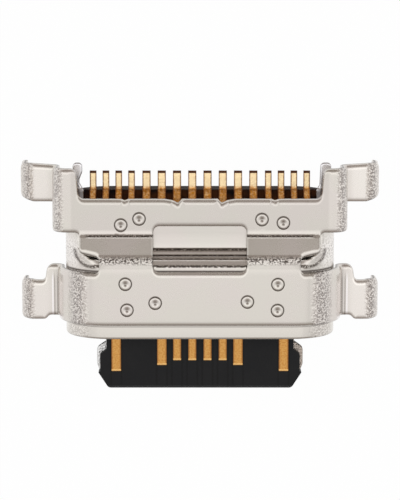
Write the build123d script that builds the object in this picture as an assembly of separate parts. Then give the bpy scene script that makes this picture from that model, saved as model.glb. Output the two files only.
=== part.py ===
from build123d import *
import math
import os

# Charging receptacle that sinks into a cut-out of its circuit board, in millimetres.
# X runs across the plug mouth, Y from the mouth to the solder tails, Z up.
# The origin is the middle of the mouth, on the front edge of the inner shell.

# Inner shell
MOUTH_WIDTH = 8.34
MOUTH_HEIGHT = 2.56
SHELL_WALL = 0.22
SHELL_LENGTH = 4.40
SHELL_STEP_Y = 2.36
SHELL_STEP_RUN = 0.50
STEP_DROP = 0.45
SEAM_GAP = 0.03
SEAM_KEY_Y = 1.55
SEAM_KEY_LENGTH = 1.10
SEAM_KEY_NECK = 0.70
SEAM_KEY_DEPTH = 0.42

# Outer cover
COVER_SHEET = 0.20
COVER_CLEARANCE = 0.01
COVER_FRONT_Y = 0.47
BAND_SIDE_REAR_Y = 2.18
COVER_RAMP_Y = 2.50
COVER_RAMP_RUN = 0.80
COVER_REAR_Y = 4.52
RAMP_BEND = 0.12
RAMP_BROW_BEND = 0.70
NOTCH_INNER_X = 3.25
NOTCH_STEP_Y = 2.72
NOTCH_OUTER_X = 3.89
NOTCH_STEP_OUTER_Y = 2.86
NOTCH_REAR_Y = 3.45
NOTCH_CORNER = 0.16
WINDOW_WIDTH = 3.02
WINDOW_FRONT_Y = 2.20
WINDOW_REAR_Y = 3.66
WINDOW_CORNER = 0.20
REAR_OPENING_WIDTH = 7.83
REAR_OPENING_CORNER = 0.20
NICK_DEPTH_LARGE = 0.13
NICK_DEPTH_SMALL = 0.05
NICK_WIDTH = 0.36
NICK_LARGE_X = 0.71
NICK_SMALL_X = 2.43
EDGE_CORNER = 0.06

# Arms and walls that carry the rear legs
REAR_WALL_OUTER_X = 4.78
ARM_BEND_OUTER = 0.54
REAR_FOOT_BEND = 0.10
REAR_TAB_FRONT_Y = 4.21
REAR_TAB_REAR_Y = 5.49
ARM_END_INNER_X = 4.00

# Front legs
FRONT_FOOT_BEND = 0.24
SHOULDER_X = 5.03
SHOULDER_FOOT_X = 5.12
SHOULDER_FOOT_CORNER = 0.14
SHOULDER_CORNER = 0.20
FRONT_TAB_FRONT_Y = 0.31
FRONT_TAB_REAR_Y = 1.60

# Board level and solder legs
BOARD_Z = -0.47
LEG_OUTER_X = 5.89
LEG_BEND_OUTER = 0.36
LEG_DROP = 0.85
LEG_SIDE_TAPER = 0.06
LEG_TIP_CORNER = 0.22
TAB_CORNER = 0.08

# Weld spots on the cover, as X and Y
WELD_SPOTS = (
    (-2.55, 3.70),
    (-1.96, 3.90),
    (2.00, 3.88),
    (2.69, 3.77),
    (-2.40, 1.84),
    (-2.35, 0.99),
    (-1.44, 1.22),
    (2.51, 1.83),
    (2.50, 0.98),
    (1.53, 1.26),
)
WELD_RING_DIAMETER = 0.42
WELD_RING_GROOVE = 0.04
WELD_RING_DEPTH = 0.03
WELD_PIT_DIAMETER = 0.14
WELD_PIT_FLOOR_DIAMETER = 0.04
WELD_PIT_DEPTH = 0.06
WELD_MARK_SIDES = 12

# Tongue
TONGUE_REACH = 1.87
TONGUE_THICKNESS = 0.66
TONGUE_ROOT_HALF = 3.07
TONGUE_LATCH_HALF = 3.28
TONGUE_WIDE_HALF = 3.34
TONGUE_TIP_HALF = 3.00
TONGUE_WIDE_Y = -1.34
TONGUE_LATCH_Y = -0.72
TONGUE_SWELL_Y = -0.57
TONGUE_TIP_CORNER = 0.14
TONGUE_NOSE = 0.09

# Resin base behind the mouth
BASE_FRONT_Y = 2.40
BLOCK_FRONT_Y = 2.80
BASE_CLEARANCE = 0.02
BLOCK_HALF_WIDTH = 3.90
CHEEK_REAR_Y = 4.10
BASE_REAR_Y = 4.30
LEDGE_REAR_Y = 4.64

# Middle plate
PLATE_SHEET = 0.15
PLATE_NOSE_Y = -1.56
PLATE_NOSE_HALF = 2.70
PLATE_BODY_HALF = 3.10
LUG_HALF = 3.39
LUG_FRONT_HALF = 3.31
LUG_FRONT_Y = -1.30
LUG_REAR_Y = -0.33
LUG_CORNER = 0.20
PLATE_REAR_Y = 3.55
PLATE_SLOT_HALF = 2.20
PLATE_SLOT_FRONT_Y = 0.60
PLATE_SLOT_REAR_Y = 1.90
PLATE_SLOT_CORNER = 0.25
PLATE_ARM_OUTER_X = 3.98
PLATE_ARM_INNER_X = 3.80
PLATE_LEG_WIDTH = 0.32
PLATE_LEG_END_Y = 5.53
PLATE_LEG_HEAD = 0.62
PLATE_LEG_HEAD_CORNER = 0.13
LEFT_LEG_X = 4.02
RIGHT_LEG_X = 4.15

# Contacts
CONTACT_SHEET = 0.15
CONTACT_PITCH = 0.50
CONTACT_SLOTS = 12
POWER_CONTACT_SLOT = 4
TAILS_IN_MIDDLE = 8
TAILS_AT_SIDE = 4
CONTACT_PROUD = 0.02
CONTACT_WIDTH = 0.31
SIGNAL_CONTACT_WIDTH = 0.265
END_CONTACT_FRONT_Y = -1.29
POWER_CONTACT_FRONT_Y = -1.09
SIGNAL_CONTACT_FRONT_Y = -0.93
CONTACT_NOSE = 0.05
TAIL_PITCH = 0.50
OUTER_TAIL_PITCH = 0.42
OUTER_TAIL_GAP = 0.49
TAIL_WIDTH = 0.24
OUTER_TAIL_WIDTH = 0.19
TAIL_END_Y = 5.26
TAIL_SHEAR = 0.05
FAN_FRONT_Y = 2.65
FAN_REAR_Y = 3.55
ROW_STEP_FRONT_Y = 3.64
ROW_STEP_REAR_Y = 3.92
TAIL_EXIT_Z = 0.0
CONTACT_BEND = 0.06

# Values worked out from those above
SHELL_TOP_Z = MOUTH_HEIGHT / 2 + SHELL_WALL
COVER_GROW = SHELL_WALL + COVER_CLEARANCE + COVER_SHEET
COVER_TOP_Z = MOUTH_HEIGHT / 2 + COVER_GROW
COVER_LOW_Z = COVER_TOP_Z - STEP_DROP
COVER_SIDE_X = MOUTH_WIDTH / 2 + COVER_GROW
FLANGE_TOP_Z = BOARD_Z + COVER_SHEET
LEG_TIP_Z = BOARD_Z - LEG_DROP
CONTACT_MID_Z = TONGUE_THICKNESS / 2 + CONTACT_PROUD - CONTACT_SHEET / 2
TAIL_MID_Z = BOARD_Z + CONTACT_SHEET / 2
PLATE_LEG_MID_Z = BOARD_Z + PLATE_SHEET / 2
TALL = 4 * MOUTH_HEIGHT
AHEAD_Y = -2 * TONGUE_REACH
BEYOND = 0.5


def along_y(face, start, end):
    """Carry a face drawn across the mouth from one Y to another."""
    solid = extrude(Plane.XZ * face, amount=-(end - start))
    return Pos(0, start, 0) * solid


def across_x(face, half_width):
    """Carry a face drawn in side view to both sides of the middle."""
    return extrude(Plane.YZ * face, amount=half_width, both=True)


def through_z(face):
    """Carry a face drawn in plan up and down past the whole part."""
    return extrude(face, amount=TALL / 2, both=True)


def outline(points, radii):
    """Close a ring of plan points, each corner rounded by its own radius."""
    return make_face(FilletPolyline(*points, radius=radii, close=True))


def mirrored(half):
    """Add the mirror image across the middle of the mouth."""
    return half + mirror(half, about=Plane.YZ)


def sheet_strip(points, radii, thickness):
    """Section of a bent sheet, from its middle line, its bend radii there and its thickness."""
    path = FilletPolyline(*points, radius=radii)
    return trace(path, line_width=thickness)


def mouth_face(grow):
    """Full-round section of the plug mouth, grown outward all round."""
    return SlotOverall(MOUTH_WIDTH + 2 * grow, MOUTH_HEIGHT + 2 * grow)


def bend_shift(run, grow):
    """How far a corner of a step moves back in Y when its sheet face is moved out by grow."""
    return grow * math.tan(math.atan2(STEP_DROP, run) / 2)


def step_face(step_y, run, top, rear, brow, foot, grow):
    """Side view of all that lies under a stepped sheet face, bent by brow and foot and moved out by grow."""
    start = step_y + bend_shift(run, grow)
    high = top + grow
    low = high - STEP_DROP
    floor = -TALL / 2
    line = FilletPolyline(
        (AHEAD_Y, high),
        (start, high),
        (start + run, low),
        (rear, low),
        radius=(brow + max(grow, 0), foot + max(-grow, 0)),
    )
    closing = Polyline((rear, low), (rear, floor), (AHEAD_Y, floor), (AHEAD_Y, high))
    return make_face(line + closing)


def stepped_tube(grow, start, end):
    """Full-round tube whose top is pressed down at the step, with its face moved out by grow."""
    outer_shift = grow - SHELL_WALL
    tube = along_y(mouth_face(grow), start, end)
    rear = end + BEYOND
    under = step_face(SHELL_STEP_Y, SHELL_STEP_RUN, SHELL_TOP_Z, rear, RAMP_BEND, RAMP_BEND, outer_shift)
    return tube & across_x(under, COVER_SIDE_X)


def seam_cut():
    """Slit along the underside, where the rolled edges meet in a dovetail key."""
    neck = (SEAM_KEY_LENGTH - SEAM_KEY_NECK) / 2
    line = Polyline(
        (0, -BEYOND),
        (0, SEAM_KEY_Y + neck),
        (SEAM_KEY_DEPTH, SEAM_KEY_Y),
        (SEAM_KEY_DEPTH, SEAM_KEY_Y + SEAM_KEY_LENGTH),
        (0, SEAM_KEY_Y + neck + SEAM_KEY_NECK),
        (0, SHELL_LENGTH + BEYOND),
    )
    slit = extrude(trace(line, line_width=SEAM_GAP), amount=MOUTH_HEIGHT)
    return Pos(0, 0, -MOUTH_HEIGHT - SHELL_WALL) * slit


def inner_shell():
    """Rolled tube that takes the plug, open at both ends."""
    outer = stepped_tube(SHELL_WALL, 0, SHELL_LENGTH)
    inner = stepped_tube(0, -BEYOND, SHELL_LENGTH + BEYOND)
    return outer - inner - seam_cut()


def nick(x, depth):
    """V cut into the cover's rear edge."""
    base = COVER_REAR_Y + BEYOND
    left = x - NICK_WIDTH / 2
    right = x + NICK_WIDTH / 2
    tip = (x, COVER_REAR_Y - depth)
    ring = Polyline((left, COVER_REAR_Y), tip, (right, COVER_REAR_Y), (right, base), (left, base), close=True)
    return through_z(make_face(ring))


def cover_plan():
    """Half of the cover seen from above: band, shoulder, leg tabs, notch, arm and rear opening."""
    tab_root = SHOULDER_X + TAB_CORNER
    end = LEG_OUTER_X + BEYOND
    opening = REAR_OPENING_WIDTH / 2
    wall = REAR_WALL_OUTER_X + EDGE_CORNER
    corners = (
        ((0, COVER_FRONT_Y), 0),
        ((SHOULDER_X, COVER_FRONT_Y), TAB_CORNER),
        ((tab_root, FRONT_TAB_FRONT_Y), TAB_CORNER),
        ((end, FRONT_TAB_FRONT_Y), 0),
        ((end, FRONT_TAB_REAR_Y), 0),
        ((SHOULDER_FOOT_X, FRONT_TAB_REAR_Y), SHOULDER_FOOT_CORNER),
        ((SHOULDER_X, BAND_SIDE_REAR_Y), SHOULDER_CORNER),
        ((NOTCH_INNER_X, BAND_SIDE_REAR_Y), NOTCH_CORNER),
        ((NOTCH_INNER_X, NOTCH_STEP_Y), NOTCH_CORNER),
        ((NOTCH_OUTER_X, NOTCH_STEP_OUTER_Y), NOTCH_CORNER),
        ((NOTCH_OUTER_X, NOTCH_REAR_Y), NOTCH_CORNER),
        ((wall, NOTCH_REAR_Y), 0),
        ((wall, REAR_TAB_FRONT_Y), EDGE_CORNER),
        ((end, REAR_TAB_FRONT_Y), 0),
        ((end, REAR_TAB_REAR_Y), 0),
        ((ARM_END_INNER_X, REAR_TAB_REAR_Y), REAR_OPENING_CORNER),
        ((opening, COVER_REAR_Y), REAR_OPENING_CORNER),
        ((0, COVER_REAR_Y), 0),
    )
    return outline([point for point, radius in corners], [radius for point, radius in corners])


def leg_section(top, side_x, shoulder, foot):
    """Half section across the cover at a leg, from the middle of its top to the leg's tip."""
    half = COVER_SHEET / 2
    points = (
        (0, top - half),
        (side_x - half, top - half),
        (side_x - half, FLANGE_TOP_Z - half),
        (LEG_OUTER_X - half, FLANGE_TOP_Z - half),
        (LEG_OUTER_X - half, LEG_TIP_Z),
    )
    return sheet_strip(points, (shoulder - half, foot + half, LEG_BEND_OUTER - half), COVER_SHEET)


def leg_trim(front, rear):
    """Side view of one tab and its tapered leg with a rounded tip."""
    bend = FLANGE_TOP_Z - COVER_SHEET / 2
    taper = FLANGE_TOP_Z - LEG_BEND_OUTER
    points = (
        (front, TALL / 2),
        (front, bend),
        (front + LEG_SIDE_TAPER, taper),
        (front + LEG_SIDE_TAPER, LEG_TIP_Z),
        (rear, LEG_TIP_Z),
        (rear, TALL / 2),
    )
    return outline(points, (0, 0, 0, LEG_TIP_CORNER, LEG_TIP_CORNER, 0))


def ramp_sheet():
    """Middle of the cover in side view: high band, ramp and low band as one bent strip."""
    outer_shift = COVER_CLEARANCE + COVER_SHEET / 2
    start = COVER_RAMP_Y - bend_shift(COVER_RAMP_RUN, COVER_SHEET / 2)
    points = (
        (COVER_FRONT_Y - BEYOND, SHELL_TOP_Z + outer_shift),
        (start, SHELL_TOP_Z + outer_shift),
        (start + COVER_RAMP_RUN, SHELL_TOP_Z + outer_shift - STEP_DROP),
        (COVER_REAR_Y + BEYOND, SHELL_TOP_Z + outer_shift - STEP_DROP),
    )
    bends = (RAMP_BROW_BEND + COVER_SHEET / 2, RAMP_BEND + COVER_SHEET / 2)
    return across_x(sheet_strip(points, bends, COVER_SHEET), NOTCH_OUTER_X + NOTCH_CORNER)


def plug(floor_radius, radius, depth):
    """Many-sided plug that reaches down from Z = 0, with its own radius at each end."""
    floor = Pos(0, 0, -depth) * RegularPolygon(floor_radius, WELD_MARK_SIDES)
    return loft([floor, RegularPolygon(radius, WELD_MARK_SIDES)], ruled=True)


def weld_mark(x, y, top):
    """Ring groove and centre pit that a welding tip leaves in the cover."""
    ring_outer = WELD_RING_DIAMETER / 2
    ring_inner = ring_outer - WELD_RING_GROOVE
    groove = plug(ring_inner, ring_outer, WELD_RING_DEPTH) - plug(ring_inner, ring_inner, WELD_RING_DEPTH)
    pit = plug(WELD_PIT_FLOOR_DIAMETER / 2, WELD_PIT_DIAMETER / 2, WELD_PIT_DEPTH)
    return Pos(x, y, top) * (groove + pit)


def outer_cover():
    """Formed sheet over the shell, with its ramp, window, notches and four solder legs."""
    round_side = SHELL_TOP_Z + COVER_CLEARANCE + COVER_SHEET
    front = leg_section(COVER_TOP_Z, COVER_SIDE_X, round_side, FRONT_FOOT_BEND)
    rear = leg_section(COVER_LOW_Z, REAR_WALL_OUTER_X, ARM_BEND_OUTER, REAR_FOOT_BEND)
    brow = RAMP_BROW_BEND + COVER_SHEET
    under = step_face(COVER_RAMP_Y, COVER_RAMP_RUN, COVER_TOP_Z, TALL, brow, RAMP_BEND, 0)
    band = mirrored(along_y(front, 0, NOTCH_REAR_Y - EDGE_CORNER)) & across_x(under, 2 * LEG_OUTER_X)
    roof = ramp_sheet() & along_y(mouth_face(COVER_GROW), 0, TALL)
    arms = mirrored(along_y(rear, NOTCH_REAR_Y - EDGE_CORNER, TALL))
    plan = mirrored(through_z(cover_plan()))
    cover = (band + roof + arms) & plan

    legs_x = LEG_OUTER_X - LEG_BEND_OUTER
    inside = Box(2 * legs_x, 2 * TALL, TALL)
    front_legs = across_x(leg_trim(FRONT_TAB_FRONT_Y, FRONT_TAB_REAR_Y), 2 * LEG_OUTER_X)
    rear_legs = across_x(leg_trim(REAR_TAB_FRONT_Y, REAR_TAB_REAR_Y), 2 * LEG_OUTER_X)
    cover = cover & (inside + front_legs + rear_legs)

    window = RectangleRounded(WINDOW_WIDTH, WINDOW_REAR_Y - WINDOW_FRONT_Y, WINDOW_CORNER)
    cover = cover - Pos(0, (WINDOW_REAR_Y + WINDOW_FRONT_Y) / 2, 0) * extrude(window, amount=TALL)
    for x in (-NICK_LARGE_X, NICK_LARGE_X):
        cover = cover - nick(x, NICK_DEPTH_LARGE)
    for x in (-NICK_SMALL_X, NICK_SMALL_X):
        cover = cover - nick(x, NICK_DEPTH_SMALL)
    for x, y in WELD_SPOTS:
        cover = cover - weld_mark(x, y, COVER_TOP_Z if y < COVER_RAMP_Y else COVER_LOW_Z)
    return cover


def contact_tail_line(front_y, row_z, end_y, exit_z, tail_z):
    """Middle line of a contact in side view: tongue, step to the shared row, slope and flat tail."""
    return (
        (front_y, row_z),
        (ROW_STEP_FRONT_Y, row_z),
        (ROW_STEP_REAR_Y, exit_z),
        (BASE_REAR_Y, exit_z),
        (LEDGE_REAR_Y, tail_z),
        (end_y, tail_z),
    )


def contact_plan(tongue_x, tail_x, front_y, width, tail_width):
    """Contact seen from above: tongue strip, slanted fan inside the resin, and tail."""
    half = width / 2
    tail = tail_width / 2
    points = (
        (tongue_x - half, front_y),
        (tongue_x + half, front_y),
        (tongue_x + half, FAN_FRONT_Y),
        (tail_x + tail, FAN_REAR_Y),
        (tail_x + tail, TAIL_END_Y),
        (tail_x - tail, TAIL_END_Y),
        (tail_x - tail, FAN_REAR_Y),
        (tongue_x - half, FAN_FRONT_Y),
    )
    return through_z(make_face(Polyline(*points, close=True)))


def contact(tongue_x, tail_x, front_y, width, tail_width, side):
    """One stamped and bent contact; side is 1 for the upper row and -1 for the lower row."""
    row_z = side * CONTACT_MID_Z
    line = contact_tail_line(front_y, row_z, TAIL_END_Y, TAIL_EXIT_Z, TAIL_MID_Z)
    bend = CONTACT_BEND + CONTACT_SHEET / 2
    strip = across_x(sheet_strip(line, (bend, bend, bend, bend), CONTACT_SHEET), MOUTH_WIDTH)
    body = strip & contact_plan(tongue_x, tail_x, front_y, width, tail_width)

    top = side * (TONGUE_THICKNESS / 2 + CONTACT_PROUD)
    nose_points = ((front_y, top), (front_y + CONTACT_NOSE, top), (front_y, top - side * CONTACT_NOSE))
    nose = Polyline(*nose_points, close=True)
    tail_top = TAIL_MID_Z + CONTACT_SHEET / 2
    tail_foot = TAIL_MID_Z - CONTACT_SHEET / 2
    shear_points = ((TAIL_END_Y, tail_foot), (TAIL_END_Y, tail_top), (TAIL_END_Y - TAIL_SHEAR, tail_top))
    shear = Polyline(*shear_points, close=True)
    return body - across_x(make_face(nose), MOUTH_WIDTH) - across_x(make_face(shear), MOUTH_WIDTH)


def tail_place(order):
    """X and width of a tail, counted from the left: wide ones in the middle, narrow ones at each side."""
    middle = order - (2 * TAILS_AT_SIDE + TAILS_IN_MIDDLE - 1) / 2
    if abs(middle) < TAILS_IN_MIDDLE / 2:
        return middle * TAIL_PITCH, TAIL_WIDTH
    last_wide = (TAILS_IN_MIDDLE - 1) / 2
    steps = abs(middle) - last_wide - 1
    place = last_wide * TAIL_PITCH + OUTER_TAIL_GAP + steps * OUTER_TAIL_PITCH
    return math.copysign(place, middle), OUTER_TAIL_WIDTH


def contacts():
    """All sixteen contacts by name."""
    order = "a1 b12 a4 b9 b8 a5 b7 a6 a7 b6 a8 b5 b4 a9 b1 a12".split()
    made = {}
    for place, label in enumerate(order):
        slot = int(label[1:])
        side = 1 if label[0] == "a" else -1
        tongue_x = side * (slot - (CONTACT_SLOTS + 1) / 2) * CONTACT_PITCH
        tail_x, tail_width = tail_place(place)
        front_y = SIGNAL_CONTACT_FRONT_Y
        width = SIGNAL_CONTACT_WIDTH
        if slot in (1, CONTACT_SLOTS):
            front_y = END_CONTACT_FRONT_Y
            width = CONTACT_WIDTH
        if slot in (POWER_CONTACT_SLOT, CONTACT_SLOTS + 1 - POWER_CONTACT_SLOT):
            front_y = POWER_CONTACT_FRONT_Y
            width = CONTACT_WIDTH
        made["contact_" + label] = contact(tongue_x, tail_x, front_y, width, tail_width, side)
    return made


def plate_plan(leg_x):
    """Half of the middle plate from above, with its latch lug and the arm to a solder leg at leg_x."""
    head = PLATE_LEG_WIDTH / 2
    head_y = PLATE_LEG_END_Y - PLATE_LEG_HEAD
    corners = (
        ((0, PLATE_NOSE_Y), 0),
        ((PLATE_NOSE_HALF, PLATE_NOSE_Y), LUG_CORNER),
        ((PLATE_NOSE_HALF, LUG_FRONT_Y), 0),
        ((LUG_FRONT_HALF, LUG_FRONT_Y), 0),
        ((LUG_HALF, LUG_FRONT_Y + LUG_CORNER), LUG_CORNER),
        ((LUG_HALF, LUG_REAR_Y - LUG_CORNER), LUG_CORNER),
        ((PLATE_BODY_HALF, LUG_REAR_Y), 0),
        ((PLATE_BODY_HALF, BLOCK_FRONT_Y), 0),
        ((PLATE_ARM_OUTER_X, BLOCK_FRONT_Y), LUG_CORNER),
        ((PLATE_ARM_OUTER_X, BASE_REAR_Y), 0),
        ((leg_x + head, head_y), 0),
        ((leg_x + head, PLATE_LEG_END_Y), PLATE_LEG_HEAD_CORNER),
        ((leg_x - head, PLATE_LEG_END_Y), PLATE_LEG_HEAD_CORNER),
        ((leg_x - head, head_y), 0),
        ((PLATE_ARM_INNER_X, BASE_REAR_Y), 0),
        ((PLATE_ARM_INNER_X, PLATE_REAR_Y), 0),
        ((0, PLATE_REAR_Y), 0),
    )
    return through_z(outline([point for point, radius in corners], [radius for point, radius in corners]))


def mid_plate():
    """Sheet between the contact rows: latch lugs in front, two bent solder legs behind."""
    plan = plate_plan(RIGHT_LEG_X) + mirror(plate_plan(LEFT_LEG_X), about=Plane.YZ)
    line = (
        (PLATE_NOSE_Y - BEYOND, 0),
        (BASE_REAR_Y, 0),
        (LEDGE_REAR_Y, PLATE_LEG_MID_Z),
        (PLATE_LEG_END_Y + BEYOND, PLATE_LEG_MID_Z),
    )
    bend = CONTACT_BEND + PLATE_SHEET / 2
    strip = across_x(sheet_strip(line, (bend, bend), PLATE_SHEET), MOUTH_WIDTH)
    slot = RectangleRounded(2 * PLATE_SLOT_HALF, PLATE_SLOT_REAR_Y - PLATE_SLOT_FRONT_Y, PLATE_SLOT_CORNER)
    slot_middle = Pos(0, (PLATE_SLOT_REAR_Y + PLATE_SLOT_FRONT_Y) / 2, 0)
    return (strip & plan) - slot_middle * extrude(slot, amount=PLATE_SHEET, both=True)


def tongue_plan():
    """Half of the black tongue from above, wider at the latch and cut back at its tip corners."""
    corners = (
        ((0, -TONGUE_REACH), 0),
        ((TONGUE_TIP_HALF, -TONGUE_REACH), TONGUE_TIP_CORNER),
        ((TONGUE_WIDE_HALF, TONGUE_WIDE_Y), 0),
        ((TONGUE_LATCH_HALF, TONGUE_WIDE_Y + TONGUE_NOSE / 2), 0),
        ((TONGUE_LATCH_HALF, TONGUE_LATCH_Y), 0),
        ((TONGUE_ROOT_HALF, TONGUE_SWELL_Y), 0),
        ((TONGUE_ROOT_HALF, BASE_FRONT_Y + BEYOND), 0),
        ((0, BASE_FRONT_Y + BEYOND), 0),
    )
    return outline([point for point, radius in corners], [radius for point, radius in corners])


def tongue_side():
    """Side view of the tongue, its front edges bevelled so that a plug slides over."""
    half = TONGUE_THICKNESS / 2
    rear = BASE_FRONT_Y + BEYOND
    tip = -TONGUE_REACH
    points = (
        (tip, -half + TONGUE_NOSE),
        (tip, half - TONGUE_NOSE),
        (tip + TONGUE_NOSE, half),
        (rear, half),
        (rear, -half),
        (tip + TONGUE_NOSE, -half),
    )
    return make_face(Polyline(*points, close=True))


def base_envelope():
    """All the resin behind the mouth, fitted to the shell and sloped at the rear for the tails."""
    room = stepped_tube(-BASE_CLEARANCE, BASE_FRONT_Y, SHELL_LENGTH + BEYOND)
    points = (
        (0, TALL / 2),
        (BASE_REAR_Y, TALL / 2),
        (BASE_REAR_Y, TAIL_EXIT_Z),
        (LEDGE_REAR_Y, TAIL_MID_Z),
        (LEDGE_REAR_Y, -TALL / 2),
        (0, -TALL / 2),
    )
    rear = across_x(make_face(Polyline(*points, close=True)), MOUTH_WIDTH)
    cheeks = Pos(0, CHEEK_REAR_Y - TALL, 0) * Box(2 * MOUTH_WIDTH, 2 * TALL, TALL)
    middle = Box(2 * BLOCK_HALF_WIDTH, 4 * TALL, TALL)
    return room & rear & (cheeks + middle)


def block_space(lower):
    """The part of the base that one contact block fills, above or below the middle."""
    height = TALL / 2
    centre = -height / 2 if lower else height / 2
    length = LEDGE_REAR_Y + BEYOND - BLOCK_FRONT_Y
    return Pos(0, BLOCK_FRONT_Y + length / 2, centre) * Box(2 * BLOCK_HALF_WIDTH, length, height)


def resin(metal):
    """The three resin pieces, each with channels where the metal lies."""
    base = base_envelope()
    tongue = mirrored(through_z(tongue_plan())) & across_x(tongue_side(), MOUTH_WIDTH)
    upper = base & block_space(False)
    lower = base & block_space(True)
    body = (base + tongue) - block_space(False) - block_space(True)
    pieces = {"upper_block": upper, "lower_block": lower, "tongue_body": body}
    for name, piece in pieces.items():
        for insert in metal:
            piece = piece - insert
        pieces[name] = piece
    return pieces


def main():
    """Make every piece and write each to its own file."""
    os.makedirs("parts", exist_ok=True)
    pieces = {"inner_shell": inner_shell(), "outer_cover": outer_cover(), "mid_plate": mid_plate()}
    pieces.update(contacts())
    inserts = [piece for name, piece in pieces.items() if name == "mid_plate" or name.startswith("contact_")]
    pieces.update(resin(inserts))
    for name, piece in pieces.items():
        export_step(piece, os.path.join("parts", name + ".step"))


main()
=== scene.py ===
"""Looks of a charging receptacle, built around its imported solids.

Every surface is worked out in millimetres with numpy and written into a mesh in metres. X runs across the
mouth, Y from the mouth to the solder tails and Z up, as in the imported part.
"""

import logging
import math
from dataclasses import dataclass, field
from enum import Enum
from typing import Any, Callable, Sequence

import bpy
import numpy as np
from mathutils import Matrix, Vector
from mathutils.geometry import delaunay_2d_cdt


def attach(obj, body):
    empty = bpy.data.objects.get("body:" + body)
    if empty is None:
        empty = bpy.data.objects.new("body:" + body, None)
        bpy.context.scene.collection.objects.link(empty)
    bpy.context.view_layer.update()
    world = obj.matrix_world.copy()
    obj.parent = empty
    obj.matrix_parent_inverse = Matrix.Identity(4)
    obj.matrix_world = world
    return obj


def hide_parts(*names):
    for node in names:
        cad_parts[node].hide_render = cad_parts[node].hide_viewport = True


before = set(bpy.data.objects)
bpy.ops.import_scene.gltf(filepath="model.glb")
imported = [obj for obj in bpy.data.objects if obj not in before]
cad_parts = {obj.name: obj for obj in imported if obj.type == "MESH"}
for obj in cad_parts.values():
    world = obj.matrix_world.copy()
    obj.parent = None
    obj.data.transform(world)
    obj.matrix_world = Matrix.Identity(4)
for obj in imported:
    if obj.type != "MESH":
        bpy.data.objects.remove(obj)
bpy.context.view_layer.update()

LOG = logging.getLogger("receptacle")
MM = 0.001
BODY = "root"
NUDGE = 1e-4  # how far a point is moved to read a slope, in millimetres
JOINED = 1e-7  # how close two points are one
TINY = 1e-6  # a distance into the material that counts as none
STRAIGHT = 1e-9  # a curvature that counts as none
FAR = 99.0  # past the end of anything here

Points = np.ndarray
Material = bpy.types.Material
Colour = Corner = Triple = tuple[float, float, float]
Pair = tuple[float, float]


def math_node(operation: str, swapped: bool = False) -> Callable[..., "Value"]:
    """Make a method that adds one Math node.

    Args:
        operation: The node's operation.
        swapped: Whether the method stands for a reflected operator, whose operands change places.

    Returns:
        The method.
    """

    def method(self: "Value", other: Any = None) -> "Value":
        """Add the node on this socket and another socket or number."""
        return self.graph.math(operation, *((other, self) if swapped else (self, other)))

    return method


@dataclass(eq=False)
class Value:
    """A shader socket that takes part in Python arithmetic by adding Math nodes."""

    graph: "Graph"
    socket: bpy.types.NodeSocket | None
    __add__ = __radd__ = math_node("ADD")
    __mul__ = __rmul__ = math_node("MULTIPLY")
    __sub__, __rsub__ = math_node("SUBTRACT"), math_node("SUBTRACT", True)
    __truediv__, __rtruediv__ = math_node("DIVIDE"), math_node("DIVIDE", True)
    __pow__, __abs__ = math_node("POWER"), math_node("ABSOLUTE")
    at_most = math_node("MINIMUM")

    def beside(self, output: str) -> "Value":
        """Another output of the same node."""
        return Value(self.graph, self.socket.node.outputs[output])

    def step(self, low: float, high: float) -> "Value":
        """Smooth rise from 0 to 1, or a fall where the second value is the lower one.

        Args:
            low: Where it is 0.
            high: Where it is 1.

        Returns:
            The share.
        """
        bounds = (low, high, 0.0, 1.0) if high > low else (high, low, 1.0, 0.0)
        inputs = dict(zip(("Value", "From Min", "From Max", "To Min", "To Max"), (self, *bounds)))
        return self.graph.node("ShaderNodeMapRange", inputs, interpolation_type="SMOOTHSTEP")

    def near(self, centre: float, reach: float) -> "Value":
        """A soft hump of height 1 at the centre that ends a reach away from it."""
        return abs(self - centre).step(reach, 0.0)

    def humps(self, *table: Triple) -> "Value":
        """Sum of soft humps, each with its centre, reach and height."""
        return sum(self.near(centre, reach) * height for centre, reach, height in table)


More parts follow.
